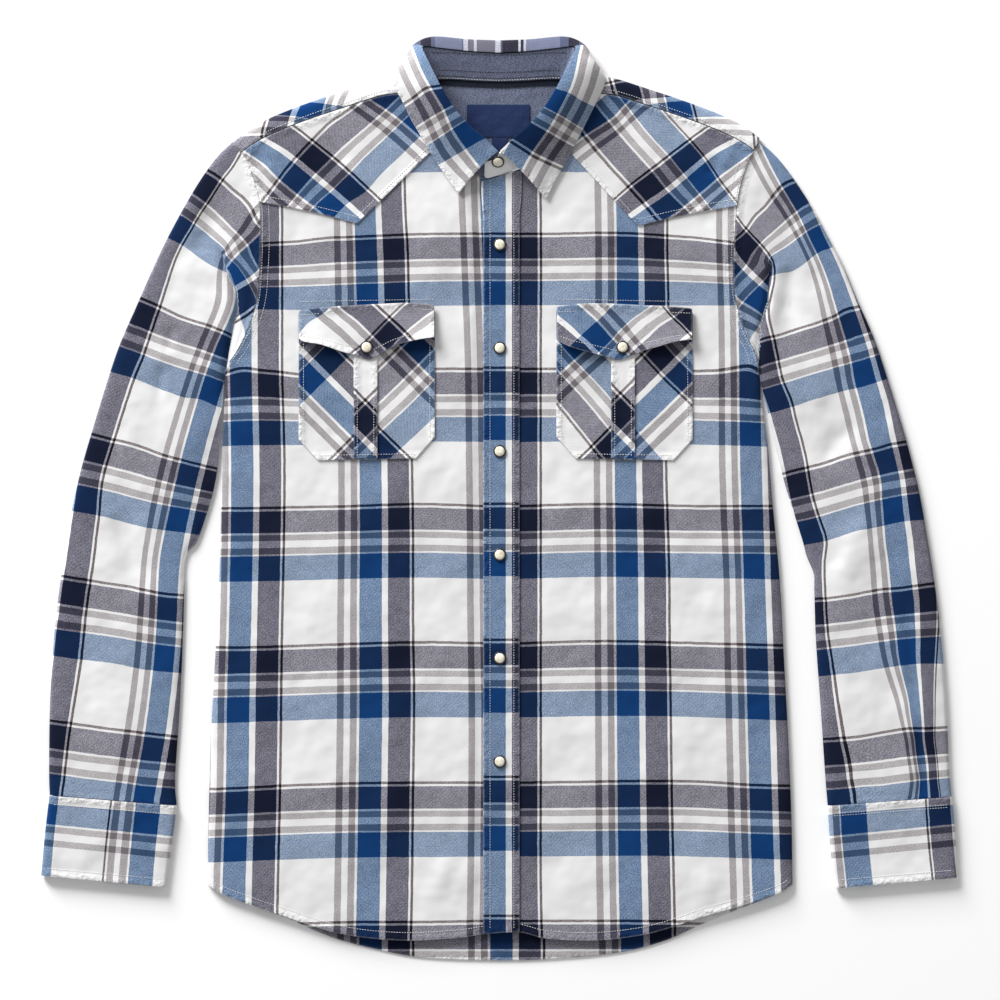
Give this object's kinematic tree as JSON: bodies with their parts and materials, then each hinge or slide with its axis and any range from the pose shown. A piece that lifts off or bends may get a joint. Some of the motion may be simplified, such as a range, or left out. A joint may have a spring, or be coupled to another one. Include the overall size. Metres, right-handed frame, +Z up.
{
  "type": "western snap shirt",
  "caption": "Long-sleeved western shirt laid flat and snapped shut: pointed yokes, flap pockets with pleats, turned-down collar, cuffs and a curved hem.",
  "frame": {"origin": "middle of the shirt's outline, on the surface that it lies on", "axes": "+Z up from the surface through the back and the front, +Y from the hem to the collar, +X towards the wearer's left sleeve"},
  "size_m": [0.861, 0.8682, 0.0282],
  "materials": {
    "plaid_cotton": "woven cotton twill in a navy, blue, grey and white plaid",
    "chambray_cotton": "plain blue chambray",
    "navy_label": "smooth navy woven tape, left plain",
    "snap_metal": "dark brushed metal",
    "snap_pearl": "glossy cream pearl"
  },
  "bodies": {
    "root": {"back_panel": "plaid_cotton", "back_yoke": "plaid_cotton", "collar_leaf": "plaid_cotton", "collar_stand": "chambray_cotton", "cuff_left": "plaid_cotton", "cuff_right": "plaid_cotton", "front_panel_left": "plaid_cotton", "front_panel_right": "plaid_cotton", "front_yoke_left": "plaid_cotton", "front_yoke_right": "plaid_cotton", "label_blank": "navy_label", "neck_tape": "navy_label", "placket": "plaid_cotton", "pocket_flap_left": "plaid_cotton", "pocket_flap_right": "plaid_cotton", "pocket_left": "plaid_cotton", "pocket_pleat_left": "plaid_cotton", "pocket_pleat_right": "plaid_cotton", "pocket_right": "plaid_cotton", "size_tab": "navy_label", "sleeve_left": "plaid_cotton", "sleeve_right": "plaid_cotton", "snap_cap_front_1": "snap_pearl", "snap_cap_front_2": "snap_pearl", "snap_cap_front_3": "snap_pearl", "snap_cap_front_4": "snap_pearl", "snap_cap_front_5": "snap_pearl", "snap_cap_front_6": "snap_pearl", "snap_cap_neck": "snap_pearl", "snap_cap_pocket_left": "snap_pearl", "snap_cap_pocket_right": "snap_pearl", "snap_ring_front_1": "snap_metal", "snap_ring_front_2": "snap_metal", "snap_ring_front_3": "snap_metal", "snap_ring_front_4": "snap_metal", "snap_ring_front_5": "snap_metal", "snap_ring_front_6": "snap_metal", "snap_ring_neck": "snap_metal", "snap_ring_pocket_left": "snap_metal", "snap_ring_pocket_right": "snap_metal", "yoke_facing": "chambray_cotton"}
  },
  "joints": []
}
